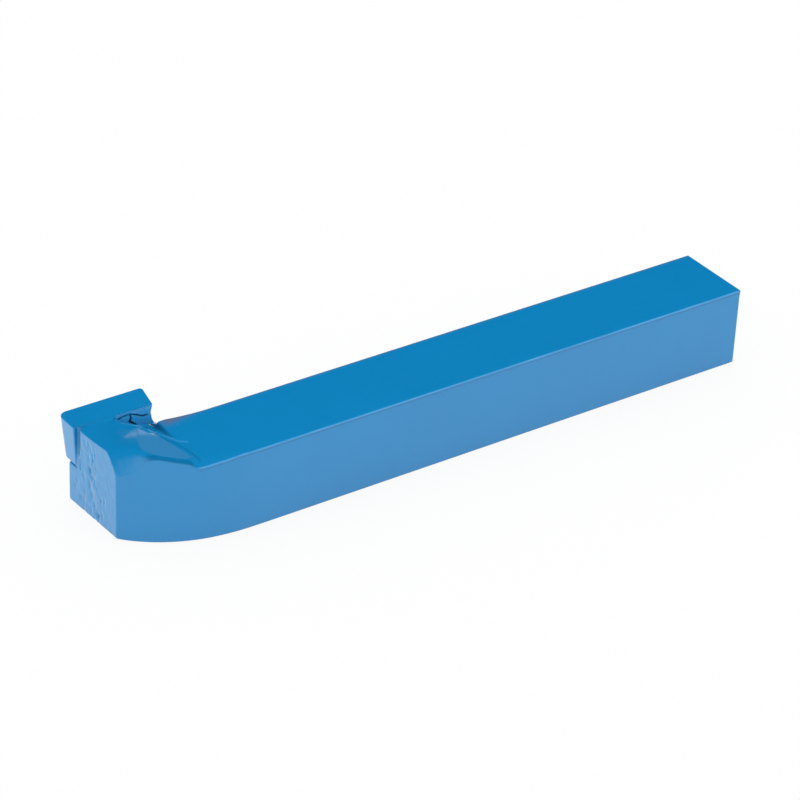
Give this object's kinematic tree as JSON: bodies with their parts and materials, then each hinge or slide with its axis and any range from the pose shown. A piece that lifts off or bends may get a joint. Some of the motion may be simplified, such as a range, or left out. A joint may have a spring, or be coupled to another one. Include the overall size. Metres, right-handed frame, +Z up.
{
  "type": "brazed turning tool",
  "caption": "Left-hand side-cutting lathe tool: square forged steel shank, cranked head and brazed carbide tip.",
  "frame": {"origin": "middle of the clamped length of the shank's base, on the shank's centre line", "axes": "+X from the butt towards the cutting head, +Z up from the base, +Y away from the cutting edge's side"},
  "size_m": [0.1, 0.0209, 0.0137],
  "materials": {
    "shank_enamel": "glossy blue enamel over forged steel",
    "tip_enamel": "the same blue enamel over carbide",
    "braze_enamel": "the same blue enamel, thin and pitted, over braze"
  },
  "bodies": {
    "root": {"shank": "shank_enamel", "carbide_tip": "tip_enamel", "braze_joint": "braze_enamel"}
  },
  "joints": []
}
